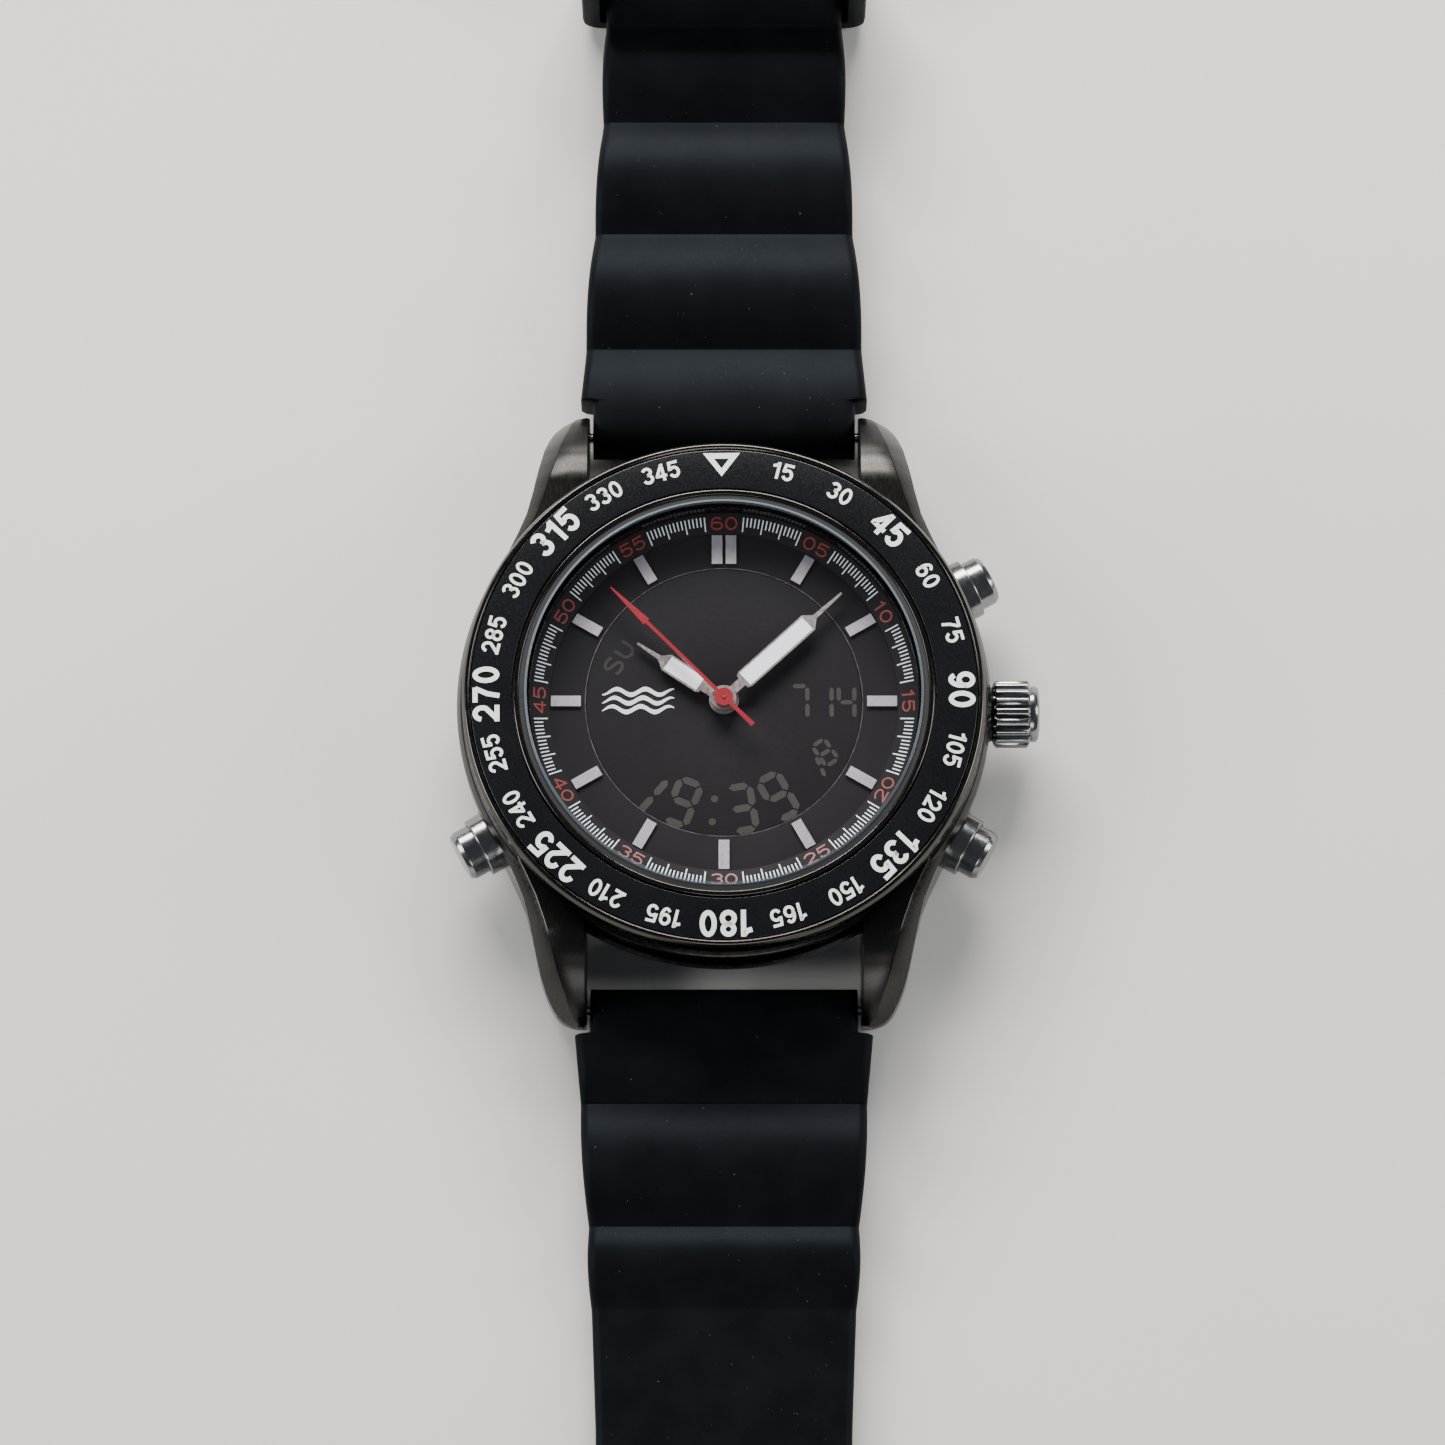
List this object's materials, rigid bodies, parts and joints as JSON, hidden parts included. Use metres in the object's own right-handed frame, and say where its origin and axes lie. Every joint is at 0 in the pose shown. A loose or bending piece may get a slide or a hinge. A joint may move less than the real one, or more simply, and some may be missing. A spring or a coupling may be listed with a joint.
{
  "type": "dive watch",
  "caption": "Wrist dive watch with analogue hands over a digital display, turning graduated bezel, crown, side pushers and ribbed rubber strap, laid open.",
  "frame": {"origin": "centre of the case back's flat face", "axes": "+Z out of the dial, +Y to 12 o'clock along the strap, +X to the crown at 3 o'clock"},
  "size_m": [0.0473, 0.257, 0.0122],
  "materials": {
    "case_steel": "dark gunmetal plating, brushed with polished bevels",
    "back_steel": "circular brushed",
    "bright_steel": "polished gunmetal chrome",
    "black_metal": "gloss black",
    "spring_steel": "plain",
    "crystal_glass": "clear mineral glass",
    "lcd_glass": "dark negative display",
    "dial_black": "satin charcoal",
    "index_silver": "satin silver",
    "lume_white": "luminous white",
    "red_paint": "red lacquer",
    "hand_metal": "brushed warm silver",
    "brass": "plain brass",
    "board_green": "solder mask",
    "copper": "enamelled copper wire",
    "black_plastic": "moulded",
    "white_plastic": "moulded",
    "gasket_rubber": "nitrile",
    "strap_rubber": "matte black, fine grain"
  },
  "bodies": {
    "head": {"case_middle": "case_steel", "case_back": "back_steel", "case_back_gasket": "gasket_rubber", "crystal": "crystal_glass", "crystal_gasket": "black_plastic", "bezel_wire": "spring_steel", "bezel_spring": "spring_steel", "chapter_ring": "dial_black", "dial": "dial_black", "dial_indices": "index_silver", "lcd_cell": "lcd_glass", "lcd_connectors": "gasket_rubber", "main_plate": "brass", "train_bridge": "spring_steel", "movement_ring": "white_plastic", "circuit_board": "board_green", "battery": "spring_steel", "battery_clip": "spring_steel", "quartz_crystal": "spring_steel", "motor_stator": "spring_steel", "motor_coil": "copper", "movement_screws": "spring_steel", "crown_tube": "spring_steel", "pusher_collars": "bright_steel", "spring_bar_tubes": "spring_steel", "spring_bar_pins": "spring_steel"},
    "bezel": {"bezel_ring": "bright_steel", "bezel_insert": "black_metal"},
    "seconds": {"seconds_wheel": "brass", "second_hand": "red_paint"},
    "minutes": {"centre_wheel": "brass", "minute_hand": "hand_metal", "minute_hand_lume": "lume_white"},
    "hours": {"hour_wheel": "brass", "hour_hand": "hand_metal", "hour_hand_lume": "lume_white"},
    "third": {"third_wheel": "brass"},
    "motion": {"minute_wheel": "brass"},
    "intermediate": {"intermediate_wheel": "brass"},
    "rotor": {"motor_rotor": "spring_steel"},
    "setting": {"setting_lever": "spring_steel"},
    "crown_turner": {"crown": "bright_steel", "crown_stem": "spring_steel", "crown_gasket": "gasket_rubber"},
    "pusher_2_button": {"pusher_2": "bright_steel", "pusher_2_spring": "spring_steel", "pusher_2_clip": "spring_steel"},
    "pusher_4_button": {"pusher_4": "bright_steel", "pusher_4_spring": "spring_steel", "pusher_4_clip": "spring_steel"},
    "pusher_8_button": {"pusher_8": "bright_steel", "pusher_8_spring": "spring_steel", "pusher_8_clip": "spring_steel"},
    "strap_12": {"strap_buckle_side": "strap_rubber", "buckle_bar": "spring_steel"},
    "strap_6": {"strap_hole_side": "strap_rubber"},
    "keeper": {"keeper_loop": "strap_rubber"},
    "buckle": {"buckle_frame": "case_steel"},
    "tongue": {"buckle_tongue": "case_steel"}
  },
  "joints": [
    {"name": "bezel_turn", "type": "hinge", "parent": "head", "child": "bezel", "pos_m": [0, 0, 0.0105], "axis": [0, 0, 1], "continuous": true},
    {"name": "second_hand_turn", "type": "hinge", "parent": "head", "child": "seconds", "pos_m": [0, 0, 0.0101], "axis": [0, 0, -1], "continuous": true},
    {"name": "minute_hand_turn", "type": "hinge", "parent": "head", "child": "minutes", "pos_m": [0, 0, 0.0096], "axis": [0, 0, -1], "continuous": true},
    {"name": "hour_hand_turn", "type": "hinge", "parent": "head", "child": "hours", "pos_m": [0, 0, 0.0091], "axis": [0, 0, -1], "continuous": true},
    {"name": "third_wheel_turn", "type": "hinge", "parent": "head", "child": "third", "pos_m": [0.00204, -0.00353, 0.0045], "axis": [0, 0, -1], "continuous": true},
    {"name": "minute_wheel_turn", "type": "hinge", "parent": "head", "child": "motion", "pos_m": [0.0017, 0.0017, 0.0064], "axis": [0, 0, -1], "continuous": true},
    {"name": "intermediate_wheel_turn", "type": "hinge", "parent": "head", "child": "intermediate", "pos_m": [-0.00204, 0.00353, 0.0045], "axis": [0, 0, -1], "continuous": true},
    {"name": "rotor_turn", "type": "hinge", "parent": "head", "child": "rotor", "pos_m": [-0.00444, 0.00353, 0.005], "axis": [0, 0, -1], "continuous": true},
    {"name": "crown_pull", "type": "slide", "parent": "head", "child": "setting", "axis": [1, 0, 0], "range_m": [0, 0.001]},
    {"name": "crown_turn", "type": "hinge", "parent": "setting", "child": "crown_turner", "pos_m": [0.023, 0, 0.0047], "axis": [1, 0, 0], "continuous": true},
    {"name": "pusher_2_push", "type": "slide", "parent": "head", "child": "pusher_2_button", "axis": [-0.8829, -0.4695, 0], "range_m": [0, 0.0008], "stiffness_N_per_m": 1500, "springref_m": -0.0008},
    {"name": "pusher_4_push", "type": "slide", "parent": "head", "child": "pusher_4_button", "axis": [-0.8704, 0.4924, 0], "range_m": [0, 0.0008], "stiffness_N_per_m": 1500, "springref_m": -0.0008},
    {"name": "pusher_8_push", "type": "slide", "parent": "head", "child": "pusher_8_button", "axis": [0.8704, 0.4924, 0], "range_m": [0, 0.0008], "stiffness_N_per_m": 1500, "springref_m": -0.0008},
    {"name": "strap_12_swing", "type": "hinge", "parent": "head", "child": "strap_12", "pos_m": [0, 0.0241, 0.0026], "axis": [1, 0, 0], "range_deg": [-85, 40]},
    {"name": "strap_6_swing", "type": "hinge", "parent": "head", "child": "strap_6", "pos_m": [0, -0.0241, 0.0026], "axis": [-1, 0, 0], "range_deg": [-85, 40]},
    {"name": "keeper_slide", "type": "slide", "parent": "strap_12", "child": "keeper", "axis": [0, 1, 0], "range_m": [0, 0.025]},
    {"name": "buckle_swing", "type": "hinge", "parent": "strap_12", "child": "buckle", "pos_m": [0, 0.1, 0.0033], "axis": [1, 0, 0], "range_deg": [-60, 60]},
    {"name": "tongue_lift", "type": "hinge", "parent": "buckle", "child": "tongue", "pos_m": [0, 0.1, 0.0033], "axis": [1, 0, 0], "range_deg": [0, 70]}
  ],
  "couplings": [
    {"joint": "minute_hand_turn", "follows": "second_hand_turn", "ratio": 0.016667},
    {"joint": "hour_hand_turn", "follows": "second_hand_turn", "ratio": 0.0013889},
    {"joint": "third_wheel_turn", "follows": "second_hand_turn", "ratio": -0.13333},
    {"joint": "minute_wheel_turn", "follows": "second_hand_turn", "ratio": -0.0055556},
    {"joint": "intermediate_wheel_turn", "follows": "second_hand_turn", "ratio": -7.5},
    {"joint": "rotor_turn", "follows": "second_hand_turn", "ratio": 30}
  ]
}
